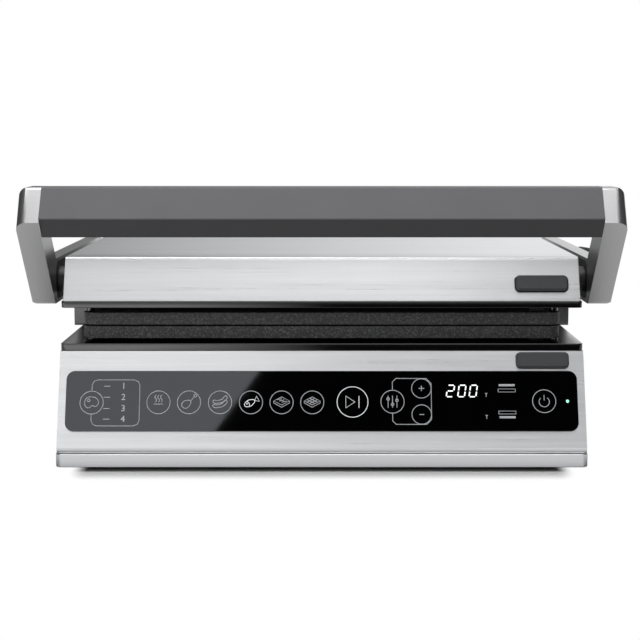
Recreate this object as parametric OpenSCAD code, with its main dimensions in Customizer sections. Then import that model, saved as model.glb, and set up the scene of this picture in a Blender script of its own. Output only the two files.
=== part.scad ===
// Contact grill: a base with a lower hot plate, and a lid with an upper one
// carried between two arms that hinge on the base. Millimetres, +Z up, front at -Y.
// Y is counted from the front of the base lip and centred by seat().

/* [Base] */
// Width of the base body
body_w = 360; // [330:1:400]
// Depth of the base body, lip to rear cover
body_d = 300; // [290:1:320]
// Height of the rubber feet below the skirt
foot_h = 3; // [2:0.5:8]
// Radius of a rubber foot
foot_r = 11; // [8:0.5:14]
// Height of the stainless skirt
skirt_h = 9.1; // [8:0.1:12]
// How far the skirt stands proud of the body sides
skirt_proud = 1; // [0.5:0.1:2]
// Sheet thickness of the skirt and the base shell
sheet_t = 1.2; // [0.8:0.1:1.5]
// Height of the shell from skirt to deck
shell_h = 67.2; // [62:0.2:80]
// Lean of the front panel from the vertical
panel_lean = 20.9; // [16:0.1:24]
// Height of the concave flare at the foot of the panel
cove_h = 4.4; // [3:0.1:6]
// Thickness of the black deck
deck_t = 5.1; // [4:0.1:7]
// Floor thickness of the base pan
pan_t = 2; // [1.5:0.1:3]

/* [Control panel] */
// Margin of panel at each end of the control glass
glass_margin = 5.2; // [3:0.1:20]
// Height of the control glass along the slope
glass_h = 42; // [36:0.5:44]
// Thickness of the control glass
glass_t = 1.1; // [0.8:0.1:2]
// Corner radius of the control glass
glass_r = 6; // [2:0.5:9]
// Distance of the glass centre below the deck
glass_drop = 32.8; // [31.8:0.1:34.8]
// Border of panel left behind the glass edge
glass_land = 3; // [2:0.5:5]
// Thickness of the circuit boards
board_t = 1.6; // [1:0.1:2]

/* [Plates] */
// Distance of the plates inside the body at each side
plate_inset = 13.5; // [10:0.5:20]
// Distance of the plates inside the body at the rear
plate_rear = 34.5; // [34:0.5:50]
// Distance of the plates behind the lip
plate_y = 37.5; // [36:0.5:44]
// Height of the rim of each plate
plate_h = 8.6; // [8:0.1:11]
// Web thickness of each plate
plate_web = 3.5; // [3:0.1:4.5]
// Gap between the two plate rims when closed
plate_gap = 1; // [0.6:0.1:2]
// Height of the pads that each plate rests on
lower_pad_h = 1.8; // [1:0.1:3]
// Height of the pads above the upper plate
upper_pad_h = 4.6; // [3.6:0.1:6]
// Pitch of the searing ribs
rib_pitch = 11; // [9:0.5:16]
// Width of a rib at its crest
rib_w = 3; // [2:0.1:4]
// Corner radius of the plates
plate_r = 9; // [4:0.5:14]

/* [Lid] */
// Distance of the lid cover inside the body at each side
lid_inset = 2; // [1:0.5:6]
// Distance of the lid front behind the lip, at its lower edge
lid_y = 27; // [24:0.5:32]
// Distance of the lid's back inside the body
lid_rear = 22; // [21:0.5:26]
// Height of the black lid bezel
bezel_h = 4.5; // [4:0.1:7]
// How far the bezel stands proud of the lid cover
bezel_proud = 1.2; // [0.6:0.1:1.6]
// Height of the lid cover
lid_h = 29.5; // [28:0.5:36]
// Lean of the lid front from the vertical
lid_lean = 24.5; // [18:0.5:28]
// Sheet thickness of the lid cover
lid_t = 1; // [0.8:0.1:1.5]

/* [Arms and grip] */
// Gap between the body side and the inner face of each arm
arm_gap = 10; // [9:0.5:12]
// Thickness of an arm
arm_t = 16; // [15:0.5:18]
// Height of the level leg of an arm
arm_leg_h = 32; // [30:0.5:36]
// How far the arm's underside lies below the lid bezel
arm_drop = 2; // [1:0.5:4]
// Distance of the front lower corner of an arm behind the lip
arm_toe_y = 66; // [60:1:72]
// Distance of the grip ridge behind the lip
grip_y = 7.6; // [4:0.2:12]
// Front to back depth of the grip
grip_d = 44; // [38:1:48]
// Height of the grip ridge above the arm's level leg
grip_ridge = 32; // [28:0.5:36]
// Height of the grip's upper face above its ridge
grip_up = 21; // [18:0.5:24]
// Height of the grip's lower face below its ridge
grip_down = 13; // [10:0.5:15]
// Thickness of the arm's inner cover
cover_t = 1.2; // [1:0.1:2]
// Radius of the round along the arm's outer upper edge
arm_round = 7.5; // [4:0.5:8]
// How much tighter the round along the level leg is than the one along the leaning leg
arm_round_less = 1; // [0.5:0.5:2]
// Radius of the round along the arm's outer lower edge
arm_under_round = 3.5; // [1:0.5:5]

/* [Hinge and pivots] */
// Distance of the hinge axis inside the rear of the body
hinge_inset = 10; // [6:1:12]
// Height of the hinge axis above the deck
hinge_up = 3.6; // [2:0.1:6]
// Radius of the arm's hinge knuckle
knuckle_r = 17; // [15:0.5:18]
// Radius of the hinge pin
hinge_pin_r = 5; // [4:0.1:6]
// Wall of the hinge and pivot bushes
bush_wall = 2; // [1.5:0.1:2.5]
// Thickness of the bracket's outer cheek
cheek_t = 4; // [3:0.1:5]
// Distance of the lid pivot behind the lip
pivot_y = 85.5; // [80:0.5:92]
// Height of the lid pivot above the arm's underside
pivot_up = 16; // [15:0.5:17]
// Radius of the lid pivot bolt
pivot_r = 4; // [3:0.1:5]
// Radial running clearance of pins in bushes
run_gap = 0.05; // [0.02:0.01:0.1]
// Clearance between parts that move past each other
side_gap = 0.4; // [0.3:0.05:0.6]

/* [Buttons and latches] */
// Width of a release button
button_w = 36; // [32:0.5:38]
// Height of a release button
button_h = 11; // [9:0.5:12]
// How far a button stands proud
button_proud = 3.6; // [3:0.1:5]
// Corner radius of a button
button_r = 3.2; // [2:0.1:4]
// Distance of the button centres inside the body side
button_edge = 28.4; // [28:0.2:34]
// Height of the lower button centre below the deck
lower_button_drop = 6.2; // [6:0.1:8]
// Height of the upper button centre above the bezel
upper_button_up = 11.5; // [10:0.5:13]

/* [Drip tray] */
// Distance of the drip tray inside the body at each side
tray_inset = 42; // [35:1:60]
// Distance of the drip tray's front wall behind the lip
tray_front = 64.4; // [62.4:1:100]
// Height of the drip tray
tray_h = 18; // [14:0.5:20]
// Wall of the drip tray
tray_t = 1.8; // [1.5:0.1:2.5]
// Height of the tray's underside above the pan floor
tray_lift = 7.5; // [7:0.1:9]

/* [Hidden] */
$fn = 48;

z_skirt = foot_h + skirt_h;
z_deck = z_skirt + shell_h;
z_deck_top = z_deck + deck_t;
z_lower = z_deck_top + lower_pad_h;
z_upper = z_lower + plate_h + plate_gap;
z_bezel = z_upper + plate_h + upper_pad_h;
z_lid = z_bezel + bezel_h;
z_lid_top = z_lid + lid_h;
z_pan = foot_h + 1.5;
z_floor = z_pan + pan_t;
z_arm = z_bezel - arm_drop;
z_arm_top = z_arm + arm_leg_h;
z_ridge = z_arm_top + grip_ridge;
z_grip_top = z_ridge + grip_up;
z_hinge = z_deck_top + hinge_up;
z_pivot = z_arm + pivot_up;
half_w = body_w / 2;
glass_w = body_w - 2 * glass_margin;
glass_z = z_deck - glass_drop;
plate_w = body_w - 2 * plate_inset;
plate_d = body_d - plate_rear - plate_y;
lid_w = body_w - 2 * lid_inset;
lid_d = body_d - lid_rear - lid_y;
hinge_y = body_d - hinge_inset;
button_x = half_w - button_edge;
tray_w = body_w - 2 * tray_inset;
half_lid = lid_w / 2;
half_span = half_w + arm_gap;
arm_out = half_span + arm_t;
lug_out = arm_out - cheek_t - side_gap;
cheek_r = knuckle_r + 3;
cap_proud = 2.4;
panel_set = 0.4;
z_panel = z_skirt + cove_h;
lid_back = lid_y + lid_d;
plate_back = plate_y + plate_d;
plate_side = plate_w / 2;
well_side = plate_side - 8;
latch_y = plate_y + 10;
latch_d = 5;
well_y0 = latch_y + latch_d + 3;
well_y1 = plate_back - 6;
overall_d = max(hinge_y + cheek_r, body_d + 10);
wedge_gap = 0.6;
lug_x0 = button_x - 5.6;
lug_w = 10;

function panel_at(z) = panel_set + (z - z_panel) * tan(panel_lean);
function lid_at(z) = lid_y + (z - z_lid) * tan(lid_lean);

// Points of a corner at b, rounded to radius r, between neighbours a and c
function corner(a, b, c, r, n = 8) =
    let (u = (a - b) / norm(a - b), v = (c - b) / norm(c - b), h = acos(u * v) / 2)
    let (p = b + u * r / tan(h), q = b + v * r / tan(h), o = b + (u + v) / norm(u + v) * r / sin(h))
    let (s = atan2(p.y - o.y, p.x - o.x), e = atan2(q.y - o.y, q.x - o.x), d = (e - s + 540) % 360 - 180)
    r <= 0 ? [b] : [for (i = [0:n]) o + r * [cos(s + d * i / n), sin(s + d * i / n)]];

// Closed profile with its own radius at each corner
function rounded(p, r, n = 8) =
    [for (i = [0:len(p) - 1]) each corner(p[(i + len(p) - 1) % len(p)], p[i], p[(i + 1) % len(p)], r[i], n)];

module seat() {
    translate([0, -overall_d / 2, 0]) children();
}

module sided(side) {
    if (side > 0) children();
    else mirror([1, 0, 0]) children();
}

// Extrudes a profile drawn in Y and Z along X
module along_x(x0, x1) {
    translate([x0, 0, 0]) rotate([90, 0, 90]) linear_extrude(x1 - x0) children();
}

// Rod along X at a given Y and Z
module rod_x(x0, x1, y, z, r) {
    translate([x0, y, z]) rotate([0, 90, 0]) cylinder(h = x1 - x0, r = r);
}

// Flat outline with round corners
module outline(w, h, r) {
    square([w - 2 * r, h], center = true);
    square([w, h - 2 * r], center = true);
    for (i = [-1, 1]) {
        for (j = [-1, 1]) {
            translate([i * (w / 2 - r), j * (h / 2 - r)]) circle(r);
        }
    }
}

// Slab between two heights with round plan corners
module slab(w, y0, y1, z0, z1, r) {
    translate([0, (y0 + y1) / 2, z0]) linear_extrude(z1 - z0) outline(w, y1 - y0, r);
}

// Block between two corners
module block(a, b) {
    translate(a) cube(b - a);
}

// Frame on the sloped panel: X across, Y up the slope, Z outward
module on_panel(z) {
    translate([0, panel_at(z), z]) rotate([90 - panel_lean, 0, 0]) children();
}

// The same frame on the sloped front of the lid
module on_lid(z) {
    translate([0, lid_at(z), z]) rotate([90 - lid_lean, 0, 0]) children();
}

// ---------- base ----------

pan_w = body_w + 2 * skirt_proud - 2 * sheet_t;
pan_y0 = sheet_t;
pan_y1 = body_d;
rail_x = tray_w / 2 + 1.5;
flange_w = 6;
tray_y1 = body_d + side_gap;
tray_y0 = tray_front;
tray_d = tray_y1 - tray_y0;
tray_z0 = z_floor + tray_lift;
tray_z1 = tray_z0 + tray_h;
flange_t = 2;
rail_top = tray_z1 - flange_t - side_gap;
rear_t = 2;
tray_gap = 1;
foot_x = half_w - 28;
foot_y = 34;

module base_pan() seat() {
    color("#2b2b2d") {
        difference() {
            union() {
                difference() {
                    slab(pan_w, pan_y0, pan_y1, z_pan, z_skirt - sheet_t, 3.5);
                    slab(pan_w - 2 * pan_t, pan_y0 + pan_t, pan_y1 + 5, z_floor, z_skirt + 1, 2);
                }
                for (x = [-1, 1]) {
                    for (y = [tray_y0 + 10, tray_y1 - 60]) {
                        translate([x * (half_w - 14), y, z_floor]) cylinder(h = 12, r = 5);
                    }
                }
                for (x = [board_x - 44, board_x + 44]) {
                    for (y = [14, 50]) {
                        translate([x, y, z_floor]) cylinder(h = board_lift, r = 3.5);
                    }
                }
                for (x = [-1, 1]) {
                    translate([x * (rail_x + flange_w / 2 + 0.5) - 2.5, tray_y0 + 4, z_floor])
                        cube([5, tray_d - 12, rail_top - z_floor]);
                }
            }
            for (x = [-1, 1]) {
                for (y = [foot_y, body_d - foot_y]) {
                    translate([x * foot_x, y, z_pan - 1]) cylinder(h = pan_t + 2, r = stud_r);
                }
            }
            // Cooling slots under the boards
            for (i = [0:vent_count - 1]) {
                translate([(i - (vent_count - 1) / 2) * vent_pitch, 30, z_pan - 1])
                    linear_extrude(pan_t + 2) outline(4, 34, 1.9);
            }
        }
    }
}

stud_r = 3;
board_lift = 8;
board_x = 74 - half_w;
vent_count = 12;
vent_pitch = 12;

module base_skirt() seat() {
    color("#c9cacb") difference() {
        slab(body_w + 2 * skirt_proud, 0, body_d, foot_h, z_skirt, 4.5);
        slab(pan_w, sheet_t, body_d + 5, foot_h - 1, z_skirt - sheet_t, 3.5);
        slab(body_w - 10, 8, body_d + 5, z_skirt - 2 * sheet_t, z_skirt + 1, 2);
    }
}

function cove_pts(inset) = [for (i = [0:6]) let (a = 90 * i / 6)
    [panel_set + inset + (cove_h / 2) * (1 - sin(a)), z_skirt + cove_h * (1 - cos(a))]];

module base_shell() seat() {
    run = sheet_t / cos(panel_lean);
    color("#d4d5d6") difference() {
        union() {
            along_x(-half_w, half_w)
                polygon(concat(cove_pts(0), [[panel_at(z_deck), z_deck], [panel_at(z_deck) + run, z_deck]],
                    [for (i = [6:-1:0]) cove_pts(run)[i]]));
            for (x = [-half_w, half_w - sheet_t]) {
                along_x(x, x + sheet_t)
                    polygon(concat(cove_pts(0), [[panel_at(z_deck), z_deck], [body_d, z_deck], [body_d, z_skirt]]));
            }
        }
        on_panel(glass_z) translate([0, 0, -6])
            linear_extrude(8) outline(glass_w - 2 * glass_land, glass_h - 2 * glass_land, glass_r - 2);
        on_panel(z_deck - lower_button_drop) translate([button_x, 0, -6]) button_hole();
        for (y = [hinge_y - 24, hinge_y - 8]) {
            rod_x(-half_w - 1, half_w + 1, y, bolt_z, bolt_r);
        }
    }
}

bolt_r = 2;
bolt_z = z_deck - 4;

module rear_cover() seat() {
    color("#2b2b2d") difference() {
        block([-half_w + sheet_t, body_d - rear_t, z_skirt], [half_w - sheet_t, body_d, z_deck]);
        block([-tray_w / 2 - flange_w - tray_gap - 1.5, body_d - 5, tray_z0 - tray_gap],
            [tray_w / 2 + flange_w + tray_gap + 1.5, body_d + 1, tray_z1 + tray_gap]);
        translate([inlet_x, body_d - 5, inlet_z]) rotate([-90, 0, 0]) cylinder(h = 10, r = inlet_r);
        for (i = [0:rear_vents - 1]) {
            translate([(i - (rear_vents - 1) / 2) * rear_vent_pitch, body_d - 5, z_deck - 22])
                rotate([-90, 0, 0]) linear_extrude(10) outline(3, 18, 1.4);
        }
    }
}

inlet_x = -half_w + 40;
inlet_z = z_deck - 20;
inlet_r = 7;
rear_vents = 14;
rear_vent_pitch = 10;

module cord_gland() seat() {
    color("#1d1d1e") translate([inlet_x, body_d, inlet_z]) rotate([-90, 0, 0]) difference() {
        union() {
            cylinder(h = 4, r = inlet_r + 3);
            translate([0, 0, -rear_t]) cylinder(h = rear_t + 1, r = inlet_r);
            translate([0, 0, -rear_t - 3]) cylinder(h = 3, r = inlet_r + 2);
        }
        translate([0, 0, -rear_t - 4]) cylinder(h = rear_t + 10, r = inlet_r - 3);
    }
}

module base_deck() seat() {
    color("#111112") difference() {
        union() {
            slab(body_w, panel_at(z_deck), body_d, z_deck, z_deck_top, 4);
            for (x = [-1, 1]) {
                for (y = [plate_y + 9, plate_back - 9]) {
                    translate([x * (plate_side - 4.2), y, z_deck_top]) cylinder(h = lower_pad_h, r = 3.2);
                }
                // Rear catches that the plate's tongues slip under
                translate([x * catch_x - catch_w / 2, plate_back + 1, z_deck_top])
                    cube([catch_w, tongue_l + 2, lower_pad_h + tongue_t + 2.6]);
            }
            // Guide of the latch and seat of the button's spring
            block([guide_x0, latch_y - guide_wall, latch_low - 2.5], [guide_x0 + guide_w, latch_y + latch_d + guide_wall, z_deck]);
            block([foot_x0, latch_y - 1.4, low_z - 2.5], [foot_x0 + 10, latch_y + 2, z_deck]);
        }
        slab(2 * well_side, well_y0, well_y1, z_deck - 1, z_deck_top + 1, 6);
        for (x = [-1, 1]) {
            translate([x * catch_x - tongue_w / 2 - 0.5, plate_back, z_deck_top])
                cube([tongue_w + 1, tongue_l + 0.5, lower_pad_h + tongue_t + 0.3]);
        }
        block([lug_x0 - 1, latch_y - 1, z_deck - 1], [lug_x0 + lug_w + 1, latch_y + latch_d + 1, z_deck_top + 1]);
        block([guide_x0 + 4, latch_y - side_gap, latch_low - side_gap],
            [guide_x0 + guide_w + 1, latch_y + latch_d + side_gap, latch_low + latch_h + side_gap]);
    }
}

latch_h = 3.5;
latch_low = z_deck - side_gap - 0.2 - latch_h;
latch_up = z_lid + 1;
guide_wall = 2;
guide_x0 = button_x - 40;
guide_w = 12;
foot_x0 = button_x + 8.5;

catch_x = 118;
catch_w = 26;
tongue_w = 18;
tongue_l = 5;
tongue_t = 2.4;

module rubber_feet() seat() {
    color("#1a1a1a") for (x = [-1, 1]) {
        for (y = [foot_y, body_d - foot_y]) {
            translate([x * foot_x, y, 0]) cylinder(h = z_pan, r = foot_r);
            translate([x * foot_x, y, z_pan]) cylinder(h = pan_t, r = stud_r);
            translate([x * foot_x, y, z_floor]) cylinder(h = 1.5, r = stud_r + 1.5);
        }
    }
}

module screw(head_r, head_h, shank_r, shank_l) {
    difference() {
        cylinder(h = head_h, r = head_r);
        translate([0, 0, -0.1]) cylinder(h = head_h * 0.6, r = head_r * 0.5, $fn = 6);
    }
    translate([0, 0, head_h]) cylinder(h = shank_l, r = shank_r);
}

// Screws that hold the rear cover's flange and the hinge brackets to the body
module base_screws() seat() {
    color("#9a9a9c") for (x = [-1, 1]) {
        for (y = [hinge_y - 24, hinge_y - 8]) {
            sided(x) translate([half_w - sheet_t - 2, y, bolt_z]) rotate([0, 90, 0])
                screw(bolt_r + 1.6, 2, bolt_r, sheet_t + 5);
        }
    }
}

module control_glass() seat() {
    color("#0c0c0e") on_panel(glass_z) linear_extrude(glass_t) outline(glass_w, glass_h, glass_r);
}

back_z = -sheet_t;

module touch_board() seat() {
    color("#1f4a35") on_panel(glass_z) translate([0, 0, back_z - board_t])
        linear_extrude(board_t) outline(glass_w - 8, glass_h - 3, 2);
}

module display_block() seat() {
    color("#e8e8e8") on_panel(glass_z) translate([92, 3, back_z]) linear_extrude(sheet_t - 0.05) outline(26, 12, 1);
}

module power_lamp() seat() {
    color("#9fe3c4") on_panel(glass_z) translate([lamp_x, 0, back_z]) cylinder(h = sheet_t - 0.05, r = 1.5);
}

lamp_x = 167;

// Mains board on its four bosses: board, relay, transformer, capacitor and terminals
module power_board() seat() {
    z = z_floor + board_lift;
    color("#2c5a3c") {
        translate([board_x, 32, z]) linear_extrude(board_t) outline(100, 48, 2);
        translate([board_x - 44, 14, z + board_t]) cube([20, 15, 15]);
        translate([board_x - 14, 20, z + board_t]) cube([26, 24, 20]);
        translate([board_x + 28, 40, z + board_t]) cylinder(h = 18, r = 7);
        translate([board_x + 28, 20, z + board_t]) cylinder(h = 14, r = 5);
        for (i = [0:3]) {
            translate([board_x - 42 + i * 9, 44, z + board_t]) cube([7, 8, 10]);
        }
    }
}

// ---------- plates, the same pattern below and above ----------

rib_span = plate_w - 30;
rib_count = floor(rib_span / rib_pitch);
rib_h = plate_h - plate_web;

// Cross-section of the searing face: a comb of tapered ribs
function comb() = concat([[-rib_span / 2 - 4, -1]],
    [for (i = [0:rib_count]) let (x = (i - rib_count / 2) * rib_pitch)
        each [[x - rib_w / 2 - 1.2, 0], [x - rib_w / 2, rib_h], [x + rib_w / 2, rib_h], [x + rib_w / 2 + 1.2, 0]]],
    [[rib_span / 2 + 4, -1]]);

module grill_plate() {
    difference() {
        slab(plate_w, plate_y, plate_back, 0, plate_h, plate_r);
        slab(plate_w - 10, plate_y + 5, plate_back - 5, plate_web, plate_h + 1, plate_r - 4);
    }
    intersection() {
        translate([0, plate_back - 20, plate_web]) rotate([90, 0, 0]) linear_extrude(plate_d - 36) polygon(comb());
        block([-plate_side + 9, plate_y, plate_web - 0.5], [plate_side - 9, plate_back, plate_h + 1]);
    }
}

heater_r = 3.3;
heater_x = 112;
heater_pitch = 48;
heater_y0 = (plate_y + plate_back) / 2 - 1.5 * heater_pitch;

// Lug that the latch's tongue enters, hanging below the back of the plate
module plate_lug(depth) {
    difference() {
        block([lug_x0, latch_y, -depth], [lug_x0 + lug_w, latch_y + latch_d, plate_web]);
        block([lug_x0 - 1, latch_y + latch_d / 2 - tongue / 2 - side_gap, -depth + 3 - side_gap],
            [lug_x0 + lug_w + 1, latch_y + latch_d / 2 + tongue / 2 + side_gap, -depth + 3 + tongue + side_gap]);
    }
}

tongue = 2.4;
lug_down = 14;
lug_up = 16.5;

module lower_plate() seat() {
    color("#3a3b3c") translate([0, 0, z_lower]) {
        difference() {
            grill_plate();
            block([-spout_w / 2, plate_back - 18, -1], [spout_w / 2, plate_back - 10, plate_h]);
        }
        // Spout that leads the fat through the deck
        difference() {
            block([-spout_w / 2 - 2, plate_back - 20, -spout_l], [spout_w / 2 + 2, plate_back - 8, plate_web]);
            block([-spout_w / 2, plate_back - 18, -spout_l - 1], [spout_w / 2, plate_back - 10, plate_h]);
        }
        for (x = [-1, 1]) {
            translate([x * catch_x - tongue_w / 2, plate_back - 1, 0]) cube([tongue_w, tongue_l + 1, tongue_t]);
        }
        plate_lug(lug_down);
    }
}

spout_w = 30;
spout_l = 12;
chute_w = spout_w + 16;

module upper_plate() seat() {
    color("#3a3b3c") translate([0, 0, z_upper + plate_h]) mirror([0, 0, 1]) {
        grill_plate();
        for (x = [-1, 1]) {
            translate([x * catch_x - tongue_w / 2, plate_back - 1, 0]) cube([tongue_w, tongue_l + 1, tongue_t]);
        }
        plate_lug(lug_up);
    }
}

// Sheathed element: four runs joined by three bends, both ends turned down
module heater() {
    for (i = [0:3]) {
        rod_x(-heater_x, heater_x, heater_y0 + i * heater_pitch, 0, heater_r);
    }
    for (i = [0:2]) {
        side = (i % 2 == 0) ? 1 : -1;
        translate([side * heater_x, heater_y0 + (i + 0.5) * heater_pitch, 0]) rotate([0, 0, side > 0 ? -90 : 90])
            rotate_extrude(angle = 180) translate([heater_pitch / 2, 0]) circle(heater_r);
    }
    for (i = [0, 3]) {
        translate([-heater_x, heater_y0 + i * heater_pitch, -end_bend]) rotate([90, 0, 0]) rotate([0, 0, 90])
            rotate_extrude(angle = 90) translate([end_bend, 0]) circle(heater_r);
        translate([-heater_x - end_bend, heater_y0 + i * heater_pitch, -end_bend - end_l])
            cylinder(h = end_l, r = heater_r);
    }
}

end_bend = 8;
end_l = 10;
heater_gap = 0.05;
heater_z = -heater_r - heater_gap;

module lower_heater() seat() {
    color("#6b655e") translate([0, 0, z_lower + heater_z]) heater();
}

module upper_heater() seat() {
    color("#6b655e") translate([0, 0, z_upper + plate_h - heater_z]) mirror([0, 0, 1]) heater();
}

refl_t = 0.8;
refl_depth = 13;
lower_refl_z = z_deck;
sensor_r = 8;

// Shallow pressed pan, flange up, with holes for the element's ends and the sensor
module reflector() {
    difference() {
        union() {
            slab(2 * well_side + 8, well_y0 - 0.8, well_y1 + 1.2, -refl_t, 0, 6);
            slab(2 * well_side, well_y0 + 2, well_y1 - 14, -refl_depth, 0, 8);
        }
        slab(2 * well_side - 2 * refl_t, well_y0 + 2 + refl_t, well_y1 - 14 - refl_t, -refl_depth + refl_t, 1, 7.2);
        for (i = [0, 3]) {
            translate([-heater_x - end_bend, heater_y0 + i * heater_pitch, -refl_depth - 1])
                cylinder(h = refl_depth + 2, r = heater_r + 0.3);
        }
        translate([0, heater_y0 + 1.5 * heater_pitch, -refl_depth - 1]) cylinder(h = 4, r = sensor_r - 3);
        block([-chute_w / 2 - 1, plate_back - 25, -refl_depth - 1], [chute_w / 2 + 1, well_y1 + 5, 1]);
    }
}

module lower_reflector() seat() {
    color("#b9bbbd") translate([0, 0, lower_refl_z]) reflector();
}

module upper_reflector() seat() {
    color("#b9bbbd") translate([0, 0, z_lid]) mirror([0, 0, 1]) reflector();
}

// Sensor can that bears on the back of the plate, with its stem through the reflector
module sensor(reach) {
    translate([0, heater_y0 + 1.5 * heater_pitch, 0]) {
        cylinder(h = 5, r = sensor_r);
        cylinder(h = reach, r = sensor_r - 4);
        translate([0, 0, reach - 1.5]) cylinder(h = 4.5, r = sensor_r - 3.2);
    }
}

module lower_sensor() seat() {
    reach = z_lower - (lower_refl_z - refl_depth);
    color("#c8b27a") translate([0, 0, z_lower]) mirror([0, 0, 1]) sensor(reach);
}

module upper_sensor() seat() {
    reach = z_lid + refl_depth - (z_upper + plate_h);
    color("#c8b27a") translate([0, 0, z_upper + plate_h]) sensor(reach);
}

// Funnel hung below the deck that carries the fat into the tray
module grease_chute() seat() {
    y0 = plate_back - 24;
    y1 = plate_back - 4;
    top = z_deck;
    low = tray_z1 - 4;
    color("#b9bbbd") difference() {
        union() {
            block([-chute_w / 2, y0, low], [chute_w / 2, y1, top]);
            block([-chute_w / 2, y1 - 2, top - 2], [chute_w / 2, y1 + 6, top]);
        }
        block([-chute_w / 2 + 1.5, y0 + 1.5, low + 12], [chute_w / 2 - 1.5, y1 - 1.5, top + 1]);
        block([-spout_w / 2 + 2, y0 + 5, low - 1], [spout_w / 2 - 2, y1 - 5, low + 13]);
    }
}

// ---------- drip tray ----------

module drip_tray() seat() {
    y_face = body_d + side_gap;
    color("#252526") {
        difference() {
            union() {
                slab(tray_w, tray_y0, y_face + 1, tray_z0, tray_z1, 6);
                slab(tray_w + 2 * flange_w, tray_y0, y_face + 1, tray_z1 - flange_t, tray_z1, 4);
                slab(tray_w + 2 * flange_w + 6, y_face, y_face + 4, tray_z0 - 3, tray_z1 + 3, 1.9);
                slab(70, y_face + 3, y_face + 9, tray_z1 - 1, tray_z1 + 2, 2.5);
            }
            slab(tray_w - 2 * tray_t, tray_y0 + tray_t, y_face - tray_t, tray_z0 + tray_t, tray_z1 + 1, 5);
        }
    }
}

// ---------- release buttons, latches and springs ----------

plunger_x0 = button_x - 17;
plunger_w = 7;
wedge_y = latch_y - plunger_w - wedge_gap;
spring_x = button_x + 5;

module button_hole() {
    linear_extrude(8) outline(button_w + 2 * side_gap, button_h + 2 * side_gap, button_r + side_gap);
}

// Cap through the sheet, with a retaining flange behind it and an eased face
module button_cap() {
    translate([0, 0, -cap_depth]) linear_extrude(cap_depth + button_proud - 1) outline(button_w, button_h, button_r);
    translate([0, 0, -cap_depth / 2])
        linear_extrude(cap_depth / 2 + button_proud) outline(button_w - 1.4, button_h - 1.4, button_r - 0.7);
    translate([0, 0, -sheet_t - side_gap - 1.2])
        linear_extrude(1.2) outline(button_w + 4, button_h + 2 * flange_lip, button_r + flange_lip);
}

cap_depth = 4;
flange_lip = 0.8;

// Plunger with a 45 degree wedge face at its tip, prismatic in Z
module plunger(y0, z0, z1) {
    translate([plunger_x0, 0, z0]) linear_extrude(z1 - z0)
        polygon([[0, y0], [plunger_w, y0], [plunger_w, wedge_y + plunger_w], [0, wedge_y]]);
}

// Latch: wedge post, bar and tongue; slides toward the middle when pushed
module latch(z0, z1, zt, p0, p1) {
    translate([plunger_x0 - wedge_gap, 0, p0]) linear_extrude(p1 - p0)
        polygon([[-6, wedge_y], [0, wedge_y], [plunger_w, wedge_y + plunger_w], [plunger_w, latch_y + 1], [-6, latch_y + 1]]);
    block([guide_x0 + 8, latch_y, z0], [lug_x0 - side_gap, latch_y + latch_d, z1]);
    block([lug_x0 - side_gap - 1, latch_y + latch_d / 2 - tongue / 2, zt],
        [lug_x0 + 2.4, latch_y + latch_d / 2 + tongue / 2, zt + tongue]);
}

// Bent leaf spring: foot, strip and curled end behind the button
module leaf(y_front, y_back, z0, z1) {
    translate([0, 0, z0]) linear_extrude(z1 - z0)
        polygon([[spring_x - 2, y_back], [spring_x + 12, y_back], [spring_x + 12, y_back - 0.6],
            [spring_x + 1, y_back - 0.6], [spring_x - 1.4, y_front + 0.5], [spring_x - 1.4, y_front],
            [spring_x - 2, y_front]]);
}

post_h = 3;
low_z = z_deck - lower_button_drop;
up_z = z_lid + upper_button_up;

module lower_eject_button() seat() {
    color("#3b3c3e") {
        on_panel(low_z) translate([button_x, 0, 0]) button_cap();
        plunger(panel_at(low_z) + 2.5, low_z - 1.6, low_z + 1.6);
    }
}

module lower_latch() seat() {
    color("#b9bbbd") latch(latch_low, latch_low + latch_h, z_lower - lug_down + 3,
        low_z - post_h, latch_low + latch_h);
}

module lower_button_spring() seat() {
    color("#cfd0d2") leaf(panel_at(low_z) + 5.2, latch_y - 1.4, low_z - 2, low_z + 2);
}

module upper_eject_button() seat() {
    color("#3b3c3e") {
        on_lid(up_z) translate([button_x, 0, 0]) button_cap();
        plunger(lid_at(up_z) + 2.5, up_z - 1.6, up_z + 1.6);
    }
}

module upper_latch() seat() {
    color("#b9bbbd") latch(latch_up, latch_up + latch_h, z_upper + plate_h + lug_up - 3 - tongue,
        latch_up, up_z + post_h - 1);
}

module upper_button_spring() seat() {
    color("#cfd0d2") leaf(lid_at(up_z) + 5.2, latch_y - 1.4, up_z - 2, up_z + 2);
}

// ---------- hinge brackets, pins and bushes ----------

brk_y0 = hinge_y - 46;
brk_y1 = hinge_y - 22;
brk_wall = 5;
brk_z0 = z_hinge - 20;
brk_z1 = z_hinge + 6;

module bracket_web() {
    polygon(rounded([[brk_y0, brk_z0], [brk_y1, brk_z0], [brk_y1, brk_z1 - 10], [brk_y1 - 10, brk_z1], [brk_y0, brk_z1]],
        [3, 1, 2, 2, 2]));
    translate([hinge_y, z_hinge]) circle(cheek_r);
    polygon([[brk_y1 - 2, brk_z0 + 9], [hinge_y, z_hinge - 14], [hinge_y, z_hinge + 8], [brk_y1 - 2, brk_z1 - 9]]);
}

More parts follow.
